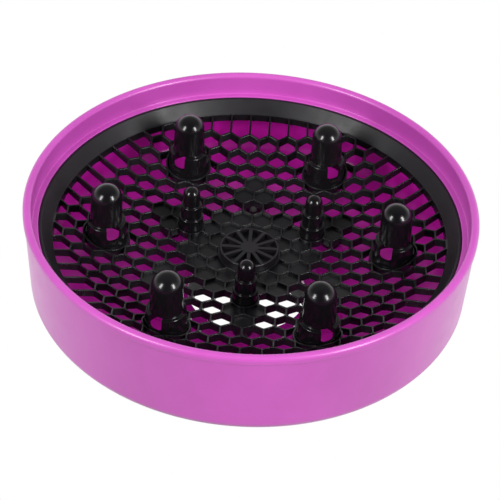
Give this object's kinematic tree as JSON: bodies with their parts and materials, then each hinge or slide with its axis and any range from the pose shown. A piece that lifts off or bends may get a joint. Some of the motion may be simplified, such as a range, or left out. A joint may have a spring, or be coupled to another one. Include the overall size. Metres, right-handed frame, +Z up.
{
  "type": "hair dryer diffuser",
  "caption": "Round push-on diffuser bowl for a hair dryer, with a dished honeycomb grille, tall hollow fingers, small prongs and a spoked centre rosette.",
  "frame": {"origin": "centre of the neck's open end, the plane the diffuser stands on", "axes": "+Z up the axis from the neck towards the fingers, +X through one finger, -Y towards the front prong"},
  "size_m": [0.1654, 0.1654, 0.0624],
  "materials": {
    "shell": "pink satin",
    "plate": "black satin",
    "finger": "black gloss",
    "prong": "black gloss",
    "rosette": "black satin",
    "screw": "zinc plated",
    "grip": "soft matt"
  },
  "bodies": {
    "root": {"housing": "shell", "grille_plate": "plate", "finger_1": "finger", "finger_2": "finger", "finger_3": "finger", "finger_4": "finger", "finger_5": "finger", "finger_6": "finger", "prong_1": "prong", "prong_2": "prong", "prong_3": "prong", "rosette": "rosette", "plate_screws": "screw", "grip_ring": "grip"}
  },
  "joints": []
}
